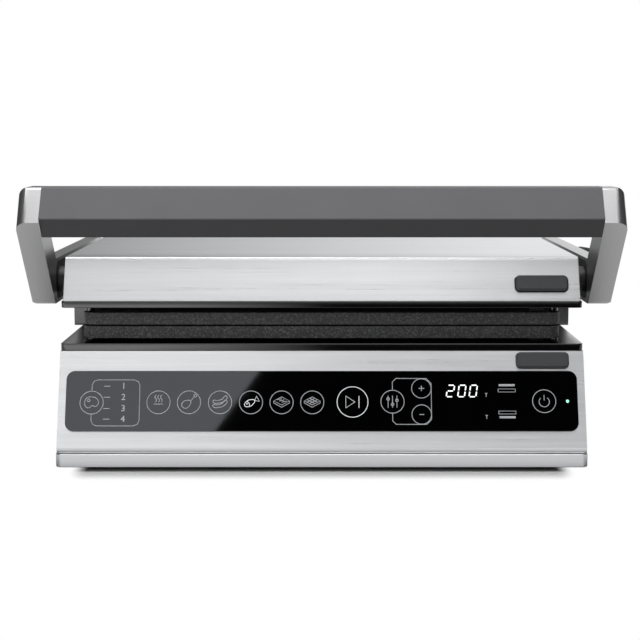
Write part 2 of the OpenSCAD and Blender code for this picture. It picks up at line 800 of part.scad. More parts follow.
module hinge_bracket() {
    difference() {
        union() {
            along_x(half_w, half_span - side_gap) bracket_web();
            along_x(lug_out + side_gap, arm_out) bracket_web();
            along_x(half_w, arm_out) polygon(rounded([[brk_y0, brk_z0], [brk_y0 + brk_wall, brk_z0],
                [brk_y0 + brk_wall, brk_z1], [brk_y0, brk_z1]], [2, 0, 0, 2]));
            block([half_w, brk_y0 + 3, brk_z0], [arm_out, brk_y1 - 2, brk_z0 + 3]);
        }
        rod_x(half_w - 1, arm_out + 1, hinge_y, z_hinge, hinge_pin_r);
        for (y = [hinge_y - 24, hinge_y - 8]) {
            rod_x(half_w - 1, half_w + 5, y, bolt_z, bolt_r);
        }
    }
}

module hinge_bracket_left() seat() color("#1a1a1b") sided(-1) hinge_bracket();
module hinge_bracket_right() seat() color("#1a1a1b") sided(1) hinge_bracket();

module hinge_pin() {
    rod_x(half_w + 1, arm_out, hinge_y, z_hinge, hinge_pin_r);
}

module hinge_pin_left() seat() color("#b5b6b8") sided(-1) hinge_pin();
module hinge_pin_right() seat() color("#b5b6b8") sided(1) hinge_pin();

module hinge_bush() {
    difference() {
        rod_x(half_span, lug_out, hinge_y, z_hinge, hinge_pin_r + run_gap + bush_wall);
        rod_x(half_span - 1, lug_out + 1, hinge_y, z_hinge, hinge_pin_r + run_gap);
    }
}

module hinge_bush_left() seat() color("#c9a86a") sided(-1) hinge_bush();
module hinge_bush_right() seat() color("#c9a86a") sided(1) hinge_bush();

// ---------- arms ----------

toe = arm_toe_y;
col_back = hinge_y + knuckle_r;
col_front = hinge_y - knuckle_r;

// Corners of an arm in Y and Z
arm_ridge = [grip_y + 0.4, z_ridge - 2.5];
arm_brow = [grip_y + 14, z_grip_top];
arm_nape = [grip_y + grip_d - 4, z_grip_top];
arm_neck = [grip_y + grip_d + 2, z_ridge - 13];
arm_heel = [arm_neck.x + arm_neck.y - z_arm, z_arm];
arm_back = [col_back, z_arm_top];

// Section of the waste outside a round, the edge at the origin and depth along Y
module round_waste(r) {
    difference() {
        translate([-r, -1]) square(r + 1);
        translate([-r, r]) circle(r);
    }
}

// Waste along the arm's outer edge from p to q, run on at both ends
module edge_waste(p, q, r, before, after) {
    translate([arm_out, p.x, p.y]) rotate([atan2(q.y - p.y, q.x - p.x) - 90, 0, 0])
        translate([0, 0, -before]) linear_extrude(norm(q - p) + before + after) round_waste(r);
}

// Head that closes the end of the grip
module arm_head() {
    difference() {
        along_x(half_span, arm_out) polygon(rounded([arm_ridge, arm_brow, arm_nape, arm_neck, [arm_neck.x - 14, arm_neck.y - 8]],
            [0, 4, 8, 0, 0]));
        edge_waste(arm_brow, arm_nape, arm_round, 6, 6);
        edge_waste(arm_nape, arm_neck, arm_round, 6, 30);
    }
}

// Leaning front leg
module arm_front() {
    difference() {
        along_x(half_span, arm_out) polygon(rounded([arm_ridge, arm_neck, arm_heel, [toe, z_arm]], [0, 0, 0, 6]));
        edge_waste(arm_neck, arm_heel, arm_round, 30, 6);
    }
}

// Level leg back to the hinge knuckle
module arm_level() {
    difference() {
        along_x(half_span, arm_out) polygon(rounded([[arm_neck.x + 6, z_arm_top], arm_back,
            [col_back, z_hinge - knuckle_r], [col_front, z_hinge - knuckle_r], [col_front, z_hinge - 2],
            [col_front - 22, z_arm], [toe + 14, z_arm]], [0, 18, knuckle_r - 0.1, knuckle_r - 0.1, 6, 12, 0]));
        edge_waste([arm_neck.x, z_arm_top], arm_back, arm_round - arm_round_less, 0, 1);
    }
}

cap_r = 10;
head_r = 8;
head_t = 4;
cbore_x = arm_out - 7;
pocket_x = half_span + 10;
cover_y0 = pivot_y - 14;
cover_y1 = col_front - 6;
rod_y = grip_y + grip_d / 2 + 2;
rod_z = z_ridge + 3;
core_r = 7;
lever_y = pivot_y + 116;
lever_z = z_arm_top - 12;
lever_pin_r = 2.5;

module cover_outline(grow) {
    translate([(cover_y0 + cover_y1) / 2, (z_arm + z_arm_top) / 2])
        outline(cover_y1 - cover_y0 + 2 * grow, arm_leg_h - 5 + 2 * grow, 9);
}

module arm_body() {
    difference() {
        union() {
            arm_head();
            arm_front();
            arm_level();
        }
        edge_waste(arm_ridge, arm_brow, arm_round, 14, 6);
        edge_waste([col_front - 30, z_arm], [toe, z_arm], arm_under_round, 0, 1);
        // Recess of the inner cover and the hollow behind it
        along_x(half_span - 1, half_span + cover_t) cover_outline(0.1);
        along_x(half_span, pocket_x) translate([(pivot_y + cover_y1) / 2 + 8, (z_arm + z_arm_top) / 2])
            outline(cover_y1 - pivot_y - 32, arm_leg_h - 10, 6);
        // Thinned knuckle between the bracket cheeks
        rod_x(lug_out, arm_out + 1, hinge_y, z_hinge, cheek_r + 1.2);
        rod_x(half_span - 1, arm_out + 1, hinge_y, z_hinge, hinge_pin_r + run_gap + bush_wall);
        rod_x(half_span - 1, arm_out + 1, pivot_y, z_pivot, pivot_r);
        rod_x(cbore_x, arm_out + 1, pivot_y, z_pivot, cap_r);
        // Screw bores into the grip core
        rod_x(half_span - 1, arm_out + 1, rod_y, rod_z, screw_r);
        rod_x(arm_out - 6, arm_out + 1, rod_y, rod_z, screw_r + 2.6);
    }
}

screw_r = 2.6;

module arm_left() seat() color("#9b9c9e") sided(-1) arm_body();

module arm_right() seat() color("#9b9c9e") difference() {
    arm_body();
    rod_x(arm_out - 4, arm_out + 1, lever_y, lever_z, lever_boss_r + side_gap);
    rod_x(arm_out - 5.5, arm_out + 1, lever_y, lever_z, lever_pin_r);
}

lever_boss_r = 5;

module arm_cover() {
    difference() {
        along_x(half_span, half_span + cover_t) cover_outline(0);
        rod_x(half_span - 1, arm_out, pivot_y, z_pivot, pivot_r);
    }
}

module arm_cover_left() seat() color("#161617") sided(-1) arm_cover();
module arm_cover_right() seat() color("#161617") sided(1) arm_cover();

// Grip: a five-sided section with a forward ridge, bored for its core
module grip() seat() {
    color("#4a4a4c") difference() {
        along_x(-half_span, half_span) polygon(rounded([
            [grip_y, z_ridge], [grip_y + 13.7, z_grip_top], [grip_y + grip_d - 6, z_grip_top],
            [grip_y + grip_d, z_ridge], [grip_y + grip_d - 8, z_ridge - grip_down],
            [grip_y + 10.4, z_ridge - grip_down]], [1.2, 3, 8, 8, 8, 2.5]));
        rod_x(-half_span - 1, half_span + 1, rod_y, rod_z, core_r);
    }
}

module grip_core() seat() {
    color("#a9aaac") difference() {
        rod_x(-half_span, half_span, rod_y, rod_z, core_r);
        for (x = [-1, 1]) {
            sided(x) rod_x(half_span - 20, half_span + 1, rod_y, rod_z, screw_r);
        }
    }
}

module grip_screws() seat() {
    color("#8f9092") for (x = [-1, 1]) {
        sided(x) difference() {
            union() {
                rod_x(half_span - 18, arm_out - 5, rod_y, rod_z, screw_r);
                rod_x(arm_out - 6, arm_out - 2, rod_y, rod_z, screw_r + 2.4);
            }
            rod_x(arm_out - 4, arm_out, rod_y, rod_z, 2);
        }
    }
}

lever_x = arm_out + side_gap;
lever_t = cap_proud - side_gap;

// Hinge release: a boss in the arm, a long lever along the arm and a thumb rest
module release_lever() seat() {
    color("#1a1a1b") difference() {
        union() {
            rod_x(arm_out - 3.8, lever_x + 0.5, lever_y, lever_z, lever_boss_r);
            along_x(lever_x, lever_x + lever_t) {
                translate([lever_y, lever_z]) circle(7.5);
                polygon(rounded([[lever_y - 42, z_arm_top + 0.4], [lever_y + 5, z_arm_top - 2], [lever_y + 4, lever_z - 7],
                    [lever_y - 20, lever_z - 3], [lever_y - 42, z_arm_top - 6]], [1.5, 3, 3, 3, 1.5]));
            }
        }
        rod_x(arm_out - 6, arm_out + 6, lever_y, lever_z, lever_pin_r + run_gap);
    }
}

module lever_pin() seat() {
    color("#b5b6b8") rod_x(arm_out - 5.5, lever_x + lever_t, lever_y, lever_z, lever_pin_r);
}

// ---------- lid pivots ----------

boss_r = 9.2;
neck_r = 8;
house_in = half_lid - 12;
house_out = half_span - side_gap;

module pivot_housing() {
    difference() {
        union() {
            rod_x(half_lid, house_out, pivot_y, z_pivot, boss_r);
            rod_x(house_in, half_lid, pivot_y, z_pivot, neck_r);
        }
        rod_x(house_in - 1, house_out + 1, pivot_y, z_pivot, pivot_r + run_gap + bush_wall);
    }
}

module pivot_housing_left() seat() color("#1a1a1b") sided(-1) pivot_housing();
module pivot_housing_right() seat() color("#1a1a1b") sided(1) pivot_housing();

module pivot_bush() {
    difference() {
        rod_x(house_in, house_out, pivot_y, z_pivot, pivot_r + run_gap + bush_wall);
        rod_x(house_in - 1, house_out + 1, pivot_y, z_pivot, pivot_r + run_gap);
    }
}

module pivot_bush_left() seat() color("#c9a86a") sided(-1) pivot_bush();
module pivot_bush_right() seat() color("#c9a86a") sided(1) pivot_bush();

// Shouldered bolt from the arm into the housing, with a retaining collar inside
module pivot_bolt() {
    rod_x(house_in - 3, cbore_x, pivot_y, z_pivot, pivot_r);
    rod_x(cbore_x, cbore_x + head_t, pivot_y, z_pivot, head_r);
    rod_x(house_in - 3, house_in - side_gap, pivot_y, z_pivot, pivot_r + 2.6);
}

module pivot_bolt_left() seat() color("#b5b6b8") sided(-1) pivot_bolt();
module pivot_bolt_right() seat() color("#b5b6b8") sided(1) pivot_bolt();

module pivot_cap() {
    difference() {
        union() {
            rod_x(cbore_x + head_t, arm_out, pivot_y, z_pivot, cap_r);
            rod_x(arm_out, arm_out + 1.2, pivot_y, z_pivot, cap_r + 1.5);
            rod_x(arm_out + 1.2, arm_out + cap_proud, pivot_y, z_pivot, cap_r + 0.6);
        }
        rod_x(arm_out + cap_proud - 0.6, arm_out + cap_proud + 1, pivot_y, z_pivot, cap_r - 3);
    }
}

module pivot_cap_left() seat() color("#8d8e90") sided(-1) pivot_cap();
module pivot_cap_right() seat() color("#8d8e90") sided(1) pivot_cap();

// ---------- lid ----------

function lid_profile(t) = [[lid_y + t / cos(lid_lean), z_lid - (t > 0 ? 1 : 0)],
    [lid_at(z_lid_top) + t / cos(lid_lean) - t * tan(lid_lean), z_lid_top - t], [lid_back - t, z_lid_top - t],
    [lid_back - t, z_lid - (t > 0 ? 1 : 0)]];

module lid_cover() seat() {
    color("#d9dadb") difference() {
        along_x(-half_lid, half_lid) polygon(rounded(lid_profile(0), [0, 3.5, 6, 0]));
        along_x(-half_lid + lid_t, half_lid - lid_t) polygon(rounded(lid_profile(lid_t), [0, 2.5, 5, 0]));
        rod_x(-half_lid - 1, half_lid + 1, pivot_y, z_pivot, neck_r);
        on_lid(up_z) translate([button_x, 0, -6]) button_hole();
    }
}

frame_w = lid_w + 2 * bezel_proud;
post_r = 5;

module lid_frame() seat() {
    color("#111112") difference() {
        union() {
            slab(frame_w, lid_y - bezel_proud, lid_back + bezel_proud, z_bezel, z_lid, 3);
            // Inner wall that locates the cover
            difference() {
                slab(lid_w - 2 * lid_t - 0.2, lid_at(z_lid + 6) + lid_t + 0.6, lid_back - lid_t - 0.1, z_lid, z_lid + 6, 2);
                slab(lid_w - 2 * lid_t - 5, lid_at(z_lid + 6) + 3.5, lid_back - lid_t - 3, z_lid - 1, z_lid + 7, 2);
            }
            for (x = [-1, 1]) {
                for (y = [plate_y + 9, plate_back - 9]) {
                    translate([x * (plate_side - 4.2), y, z_upper + plate_h]) cylinder(h = upper_pad_h, r = 3.2);
                }
                translate([x * catch_x - catch_w / 2, plate_back + 1, z_bezel - catch_h])
                    cube([catch_w, tongue_l + 2, catch_h]);
                translate([x * post_x, front_post_y, z_lid]) cylinder(h = front_post_h, r = post_r);
                translate([x * post_x, back_post_y, z_lid]) cylinder(h = lid_h - lid_t, r = post_r);
            }
            block([guide_x0, latch_y - guide_wall, z_lid],
                [guide_x0 + guide_w, latch_y + latch_d + guide_wall, latch_up + latch_h + 2.5]);
            block([foot_x0, latch_y - 1.4, z_lid], [foot_x0 + 10, latch_y + 2, up_z + 2.5]);
        }
        slab(2 * well_side, well_y0, well_y1, z_bezel - 1, z_lid + 1, 6);
        rod_x(-half_lid, half_lid, pivot_y, z_pivot, neck_r + side_gap);
        for (x = [-1, 1]) {
            translate([x * catch_x - tongue_w / 2 - 0.5, plate_back, z_upper + plate_h - tongue_t - 0.3])
                cube([tongue_w + 1, tongue_l + 0.5, upper_pad_h + tongue_t + 0.3 - 0.01]);
            for (y = [front_post_y, back_post_y]) {
                translate([x * post_x, y, z_bezel - 1]) cylinder(h = front_post_h, r = 1.6);
                translate([x * post_x, y, z_bezel - 1]) cylinder(h = 3.2, r = 3.4);
            }
        }
        block([lug_x0 - 1, latch_y - 1, z_bezel - 1], [lug_x0 + lug_w + 1, latch_y + latch_d + 1, z_lid + 8]);
        block([button_x - button_w / 2 - 4, lid_y, z_lid], [button_x + button_w / 2 + 4, wedge_y - 2, z_lid + 8]);
        block([guide_x0 + 4, latch_y - side_gap, latch_up - side_gap],
            [guide_x0 + guide_w + 1, latch_y + latch_d + side_gap, latch_up + latch_h + side_gap]);
    }
}

post_x = 80;
front_post_y = well_y0 - 8;
front_post_h = 16;
back_post_y = lid_back - 12;
catch_h = upper_pad_h + tongue_t + 2.6;

module lid_screws() seat() {
    color("#9a9a9c") for (x = [-1, 1]) {
        for (y = [front_post_y, back_post_y]) {
            translate([x * post_x, y, z_bezel + 0.2]) screw(3.2, 2, 1.6, front_post_h - 4);
        }
    }
}

base_pan();
base_skirt();
base_shell();
rear_cover();
base_deck();
rubber_feet();
base_screws();
cord_gland();
control_glass();
touch_board();
display_block();
power_lamp();
power_board();
lower_plate();
lower_heater();
lower_reflector();
lower_sensor();
grease_chute();
hinge_bracket_left();
hinge_bracket_right();
hinge_pin_left();
hinge_pin_right();
lower_eject_button();
lower_latch();
lower_button_spring();
drip_tray();
arm_left();
arm_right();
arm_cover_left();
arm_cover_right();
hinge_bush_left();
hinge_bush_right();
pivot_bolt_left();
pivot_bolt_right();
pivot_cap_left();
pivot_cap_right();
grip();
grip_core();
grip_screws();
release_lever();
lever_pin();
lid_cover();
lid_frame();
lid_screws();
pivot_housing_left();
pivot_housing_right();
pivot_bush_left();
pivot_bush_right();
upper_plate();
upper_heater();
upper_reflector();
upper_sensor();
upper_eject_button();
upper_latch();
upper_button_spring();
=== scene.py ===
# The contact grill dressed for the camera: studio first, then the grill piece by piece, from the feet up.
# Blender works in metres, with the frame's axes: +X right, front at -Y, +Z up.
import math

import bpy
from mathutils import Matrix, Vector


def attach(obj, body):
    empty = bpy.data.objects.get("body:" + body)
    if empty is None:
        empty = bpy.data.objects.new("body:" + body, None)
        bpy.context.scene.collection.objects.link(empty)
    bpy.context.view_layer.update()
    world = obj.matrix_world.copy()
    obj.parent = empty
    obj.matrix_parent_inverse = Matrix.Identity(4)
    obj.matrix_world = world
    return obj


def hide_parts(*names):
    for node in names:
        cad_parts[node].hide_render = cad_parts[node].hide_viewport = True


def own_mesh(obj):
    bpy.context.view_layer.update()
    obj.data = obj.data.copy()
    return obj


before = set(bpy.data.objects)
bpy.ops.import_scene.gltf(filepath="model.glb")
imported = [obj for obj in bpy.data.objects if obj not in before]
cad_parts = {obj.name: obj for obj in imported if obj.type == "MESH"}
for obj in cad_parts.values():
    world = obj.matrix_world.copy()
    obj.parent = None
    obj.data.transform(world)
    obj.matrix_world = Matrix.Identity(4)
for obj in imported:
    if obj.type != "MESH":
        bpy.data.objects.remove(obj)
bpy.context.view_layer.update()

# ---------- Camera ----------
# A long lens about a metre away, a little above the grip and tipped down, as the grill was photographed.
# Sizes here are written in millimetres and times MM, because Blender counts in metres.
MM = 0.001
camera_data = bpy.data.cameras.new("camera")
camera_data.sensor_width = 36
camera_data.lens = 84.375
camera_data.clip_start = 0.05
camera = bpy.data.objects.new("camera", camera_data)
camera.location = (-1.2 * MM, -1152.2 * MM, 232.6 * MM)
camera.rotation_euler = (math.radians(82.65), 0, 0)
bpy.context.scene.collection.objects.link(camera)
bpy.context.scene.camera = camera
bpy.context.scene.view_settings.view_transform = "Standard"


# ---------- Studio ----------
# White table and white surround, a soft box overhead and a tall one at the left. Cards and flags that
# only reflections see shape the metal: dark at the sides and behind the camera, graded at the back.
def linear(hex_colour):
    """An sRGB hex colour as the linear RGBA that a socket takes."""
    parts = [int(hex_colour[i:i + 2], 16) / 255 for i in (1, 3, 5)]
    return tuple(c / 12.92 if c <= 0.04045 else ((c + 0.055) / 1.055) ** 2.4 for c in parts) + (1.0,)


def add(tree, kind, settings=None, inputs=None):
    """Adds one shader node: its own settings, and its inputs as values or as sockets to link. Inputs go by
    name or by place: on a Mix node 0 is the factor, 4 and 5 are its vectors, 6 and 7 its colours."""
    node = tree.nodes.new("ShaderNode" + kind)
    for key, value in (settings or {}).items():
        setattr(node, key, value)
    for key, value in (inputs or {}).items():
        if isinstance(value, bpy.types.NodeSocket):
            tree.links.new(value, node.inputs[key])
        else:
            node.inputs[key].default_value = value
    return node


def new_material(name):
    """An empty material and its node tree."""
    material = bpy.data.materials.new(name)
    material.use_nodes = True
    material.node_tree.nodes.clear()
    return material, material.node_tree


def wear(piece, material):
    """Gives a piece one material on all its faces."""
    piece.data.materials.clear()
    piece.data.materials.append(material)
    piece.data.polygons.foreach_set("material_index", [0] * len(piece.data.polygons))


def sees_background(tree):
    """1 for the rays that should meet a plain white background: camera, transmission and glossy rays."""
    rays = add(tree, "LightPath")
    seen = add(tree, "Math", {"operation": "MAXIMUM"},
               {0: rays.outputs["Is Camera Ray"], 1: rays.outputs["Is Transmission Ray"]})
    return add(tree, "Math", {"operation": "MAXIMUM"},
               {0: seen.outputs[0], 1: rays.outputs["Is Glossy Ray"]}).outputs[0]


world = bpy.data.worlds.new("studio_world")
bpy.context.scene.world = world
world.use_nodes = True
world.node_tree.nodes.clear()
level = add(world.node_tree, "MapRange", {},
            {"Value": sees_background(world.node_tree), "To Min": 0.42, "To Max": 1.0})
sky = add(world.node_tree, "Background", {}, {"Color": linear("#ffffff"), "Strength": level.outputs[0]})
add(world.node_tree, "OutputWorld", {}, {"Surface": sky.outputs[0]})

# The table keeps the grill's shadow under its foot and turns plain white 27 mm in front of it, and
# just within its ends at the sides. Close to the foot the camera sees it a light grey, a painted shade
# that deepens the real shadow there. What it throws back up is held low, so that undersides stay dark.
# Half the shaded width is less for the camera than for what the metal mirrors.
shade_half_width_seen = 0.158
shade_half_width_mirrored = 0.205
shade_half_depth = 0.155
fade_from = 0.003
fade_to = 0.027
bpy.ops.object.select_all(action="DESELECT")
bpy.ops.mesh.primitive_plane_add(size=16)
table = bpy.context.object
table.name = "studio_table"
paper, tree = new_material("white_table_paper")
place = add(tree, "TexCoord")
rays = add(tree, "LightPath")
from_middle = add(tree, "VectorMath", {"operation": "ABSOLUTE"}, {0: place.outputs["Object"]})
shaded = add(tree, "MapRange", {}, {"Value": rays.outputs["Is Camera Ray"],
                                    "To Min": shade_half_width_mirrored, "To Max": shade_half_width_seen})
footprint = add(tree, "CombineXYZ", {}, {0: shaded.outputs[0], 1: shade_half_depth, 2: 0.0})
outside = add(tree, "VectorMath", {"operation": "SUBTRACT"},
              {0: from_middle.outputs[0], 1: footprint.outputs[0]})
beyond = add(tree, "VectorMath", {"operation": "MAXIMUM"}, {0: outside.outputs[0], 1: (0.0, 0.0, 0.0)})
# It fades 1.9 times as fast sideways as it does forwards
stretched = add(tree, "VectorMath", {"operation": "MULTIPLY"}, {0: beyond.outputs[0], 1: (1.9, 1.0, 1.0)})
reach = add(tree, "VectorMath", {"operation": "LENGTH"}, {0: stretched.outputs[0]})
fade = add(tree, "MapRange", {"interpolation_type": "SMOOTHSTEP"},
           {"Value": reach.outputs["Value"], "From Min": fade_from, "From Max": fade_to})
share = add(tree, "Math", {"operation": "MULTIPLY"}, {0: sees_background(tree), 1: fade.outputs[0]})
# The light grey that the camera sees near the foot is a painted shade; the darker grey is what bounces up
paper_tone_painted_shade = add(tree, "Mix", {"data_type": "RGBA"},
                 {0: rays.outputs["Is Camera Ray"], 6: linear("#6a6a6a"), 7: linear("#b4b4b4")})
matt = add(tree, "BsdfDiffuse", {}, {"Color": paper_tone_painted_shade.outputs[2]})
glow = add(tree, "Emission", {}, {"Color": linear("#ffffff"), "Strength": 1.0})
both = add(tree, "MixShader", {}, {0: share.outputs[0], 1: matt.outputs[0], 2: glow.outputs[0]})
add(tree, "OutputMaterial", {}, {"Surface": both.outputs[0]})
wear(table, paper)


def soft_box(name, width, depth, watts, place):
    """A soft box that is turned to the grill. The camera doesn't see it."""
    lamp = bpy.data.lights.new(name, "AREA")
    lamp.shape = "RECTANGLE"
    lamp.size = width
    lamp.size_y = depth
    lamp.energy = watts
    box = bpy.data.objects.new(name, lamp)
    box.location = place
    box.rotation_euler = (Vector((0, 0, 0.1)) - box.location).to_track_quat("-Z", "Y").to_euler()
    box.visible_camera = False
    bpy.context.scene.collection.objects.link(box)
    return box


soft_box("soft_box_top", 1.8, 1.2, 25, (-0.2, -0.3, 1.6))
# The one at the left only fills shadows: in reflections the tall card below stands for it
soft_box("soft_box_side", 1.0, 0.8, 13, (-1.5, -1.5, 0.7)).visible_glossy = False


def card(name, corners, left, right, from_x=-1.0, to_x=1.0):
    """A card that only reflections see. Its brightness runs from left to right between two places in X."""
    bpy.ops.object.select_all(action="DESELECT")
    bpy.ops.mesh.primitive_plane_add(size=1)
    sheet = bpy.context.object
    sheet.name = name
    for vertex, corner in zip(sheet.data.vertices, corners):
        vertex.co = corner
    paint, tree = new_material(name)
    place = add(tree, "TexCoord")
    across = add(tree, "SeparateXYZ", {}, {0: place.outputs["Object"]})
    bright = add(tree, "MapRange", {}, {"Value": across.outputs[0], "From Min": from_x, "From Max": to_x,
                                        "To Min": left, "To Max": right})
    glow = add(tree, "Emission", {}, {"Color": linear("#ffffff"), "Strength": bright.outputs[0]})
    add(tree, "OutputMaterial", {}, {"Surface": glow.outputs[0]})
    wear(sheet, paint)
    sheet.visible_camera = False
    sheet.visible_diffuse = False
    sheet.visible_shadow = False


# The tall soft box at the left: its inner edge leans to the right, as its reflection in the glass shows
card("soft_box_left", [(-2.3, -2.0, 0.05), (-0.94, -2.2, 0.05), (-2.3, -2.0, 2.2), (0.35, -2.2, 2.2)],
     1.15, 1.15)
# Flag behind the camera, just where the glass looks
card("flag_behind_camera", [(-1.6, -2.25, 1.12), (2.2, -2.25, 1.12), (-1.6, -2.25, 1.58), (2.2, -2.25, 1.58)],
     0.006, 0.006)
# High in front, where the lid's front looks: a large card a little duller than the surround
card("card_high_in_front", [(-2.6, -2.35, 1.8), (2.6, -2.35, 1.8), (-2.6, -2.35, 4.2), (2.6, -2.35, 4.2)],
     0.6, 0.6)
# Lying in front: a card for the deck's edge, a duller one for the bezel, and a dark flag at the right
card("card_on_table_near", [(-1.4, -1.1, 0.003), (0.0, -1.1, 0.003), (-1.4, -0.5, 0.003), (0.0, -0.5, 0.003)],
     3.1, 0.1, -0.19, 0.0)
card("card_on_table_far", [(-1.4, -1.6, 0.003), (0.0, -1.6, 0.003), (-1.4, -1.1, 0.003), (0.0, -1.1, 0.003)],
     1.15, 0.08, -0.22, 0.0)
card("flag_on_table_right", [(0.0, -1.6, 0.003), (1.6, -1.6, 0.003), (0.0, -0.4, 0.003), (1.6, -0.4, 0.003)],
     0.02, 0.02)
# Graded card at the back, and dark flags at the sides
card("card_behind", [(-2.2, 1.7, 0.0), (2.2, 1.7, 0.0), (-2.2, 1.7, 2.8), (2.2, 1.7, 2.8)],
     0.0, 1.17, -0.7, 0.4)
card("flag_left", [(-1.3, 1.5, 0.0), (-1.3, -1.0, 0.0), (-1.0, 1.5, 2.4), (-1.0, -1.0, 2.4)], 0.1, 0.1)
card("flag_right", [(1.3, -1.0, 0.0), (1.3, 1.5, 0.0), (1.0, -1.0, 2.4), (1.0, 1.5, 2.4)], 0.1, 0.1)


# ---------- Rubber feet ----------
# Four black rubber feet, moulded with a stud that snaps through the pan. Rubber has a dull, slightly
# dusty skin with next to no highlight.
def moulded(name, light, dark, rough, size, depth, specular=0.5, cast="#ffffff"):
    """A moulded surface: a fine grain of a given size in metres, its depth as a share of 0.2 mm, and a
    faint cloudiness in its colour. Its highlights may have a cast."""
    material, tree = new_material(name)
    place = add(tree, "TexCoord")
    grain = add(tree, "TexNoise", {}, {"Vector": place.outputs["Object"], "Scale": 1 / size, "Detail": 3.0})
    cloud = add(tree, "TexNoise", {}, {"Vector": place.outputs["Object"], "Scale": 30.0, "Detail": 2.0})
    colour = add(tree, "Mix", {"data_type": "RGBA"},
                 {0: cloud.outputs[0], 6: linear(dark), 7: linear(light)})
    gloss = add(tree, "MapRange", {}, {"Value": grain.outputs[0], "From Min": 0.3, "From Max": 0.7,
                                       "To Min": rough * 0.88, "To Max": rough * 1.12})
    plastic = add(tree, "BsdfPrincipled", {},
                  {"Base Color": colour.outputs[2], "Roughness": gloss.outputs[0],
                   "Specular IOR Level": specular, "Specular Tint": linear(cast)})
    if depth:
        bump = add(tree, "Bump", {}, {"Height": grain.outputs[0], "Strength": depth, "Distance": 0.0002})
        tree.links.new(bump.outputs[0], plastic.inputs["Normal"])
    add(tree, "OutputMaterial", {}, {"Surface": plastic.outputs[0]})
    return material


def dress(material, *nodes):
    """Puts a material on CAD nodes whose shape stays as it is."""
    for node in nodes:
        wear(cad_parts[node], material)


dress(moulded("black_rubber", "#1c1c1d", "#161617", 0.75, 0.0012, 0.2, 0.3), "rubber_feet")


# ---------- Base pan, rear cover and cord gland ----------
# The floor and the back of the housing, moulded in black glass-filled nylon. The mould is spark eroded,
# so the surface is matt and finely grained.
nylon = moulded("black_glass_filled_nylon", "#1b1b1c", "#151516", 0.5, 0.0008, 0.15)
dress(nylon, "base_pan", "rear_cover", "cord_gland")


# ---------- Skirt and shell of the base ----------
# Stainless sheet, 1.2 mm, cut, folded and belt brushed from side to side. The panel leans back and
# flares out in a small cove onto the skirt. The grain pulls highlights out up and down the panel.
def brushed(name, light, dark, low, high, depth):
    """Belt brushed stainless: lines run along X, or along Y on the side faces. The real lines are about
    0.1 mm apart; they are drawn 1.2 mm apart, so that they show. Roughness runs from low to high."""
    material, tree = new_material(name)
    place = add(tree, "TexCoord")
    normal = add(tree, "SeparateXYZ", {}, {0: place.outputs["Normal"]})
    sideways = add(tree, "Math", {"operation": "ABSOLUTE"}, {0: normal.outputs[0]})
    side = add(tree, "Math", {"operation": "GREATER_THAN"}, {0: sideways.outputs[0], 1: 0.8})
    # Steps of the noise per metre: few along the lines, many across them
    few, many = 9, 800
    along_x = add(tree, "Mapping", {}, {"Vector": place.outputs["Object"], "Scale": (few, many, many)})
    along_y = add(tree, "Mapping", {}, {"Vector": place.outputs["Object"], "Scale": (many, few, many)})
    lines = add(tree, "Mix", {"data_type": "VECTOR"},
                {0: side.outputs[0], 4: along_x.outputs[0], 5: along_y.outputs[0]})
    fine = add(tree, "TexNoise", {},
               {"Vector": lines.outputs[1], "Scale": 1.0, "Detail": 5.0, "Roughness": 0.75})
    broad = add(tree, "TexNoise", {}, {"Vector": lines.outputs[1], "Scale": 0.16, "Detail": 2.0})
    grain = add(tree, "Math", {"operation": "MULTIPLY_ADD"},
                {0: broad.outputs[0], 1: 0.6, 2: fine.outputs[0]})
    tone = add(tree, "MapRange", {}, {"Value": grain.outputs[0], "From Min": 0.55, "From Max": 1.05})
    colour = add(tree, "Mix", {"data_type": "RGBA"},
                 {0: tone.outputs[0], 6: linear(dark), 7: linear(light)})
    gloss = add(tree, "MapRange", {}, {"Value": fine.outputs[0], "From Min": 0.3, "From Max": 0.7,
                                       "To Min": low, "To Max": high})
    across = add(tree, "CombineXYZ", {}, {0: 0.0, 1: 1.0, 2: 1.0})
    steel = add(tree, "BsdfPrincipled", {},
                {"Base Color": colour.outputs[2], "Metallic": 1.0, "Roughness": gloss.outputs[0],
                 "Anisotropic": 0.6, "Tangent": across.outputs[0]})
    bump = add(tree, "Bump", {}, {"Height": fine.outputs[0], "Strength": depth, "Distance": 0.0002})
    tree.links.new(bump.outputs[0], steel.inputs["Normal"])
    add(tree, "OutputMaterial", {}, {"Surface": steel.outputs[0]})
    return material


def pick(piece):
    """Makes one object the active and only selected one."""
    bpy.ops.object.select_all(action="DESELECT")
    piece.select_set(True)
    bpy.context.view_layer.objects.active = piece


def smooth(piece):
    """Smooth shading over the rounds, with the large faces kept flat."""
    pick(piece)
    bpy.ops.object.shade_smooth_by_angle(angle=math.radians(34))
    bpy.ops.object.modifier_add(type="WEIGHTED_NORMAL")
    piece.modifiers[-1].keep_sharp = True
    bpy.ops.object.modifier_apply(modifier=piece.modifiers[-1].name)


def eased_copy(node, name, body, material, radius, sharp=30, clamp=False):
    """A copy of a CAD node, its triangles merged into faces and its sharp edges eased to a radius. Where
    short edges meet at a slant, clamp keeps the easing from growing past them."""
    piece = bpy.data.objects.new(name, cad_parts[node].data.copy())
    bpy.context.scene.collection.objects.link(piece)
    pick(piece)
    bpy.ops.object.mode_set(mode="EDIT")
    bpy.ops.mesh.select_mode(type="EDGE")
    bpy.ops.mesh.select_all(action="SELECT")
    bpy.ops.mesh.remove_doubles(threshold=2e-6)
    bpy.ops.mesh.dissolve_limited(angle_limit=math.radians(0.3))
    bpy.ops.mesh.select_all(action="DESELECT")
    bpy.ops.mesh.edges_select_sharp(sharpness=math.radians(sharp))
    bpy.ops.mesh.bevel(offset=radius, offset_type="OFFSET", segments=2, affect="EDGES",
                       clamp_overlap=clamp)
    bpy.ops.object.mode_set(mode="OBJECT")
    smooth(piece)
    wear(piece, material)
    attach(piece, body)
    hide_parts(node)
    return piece


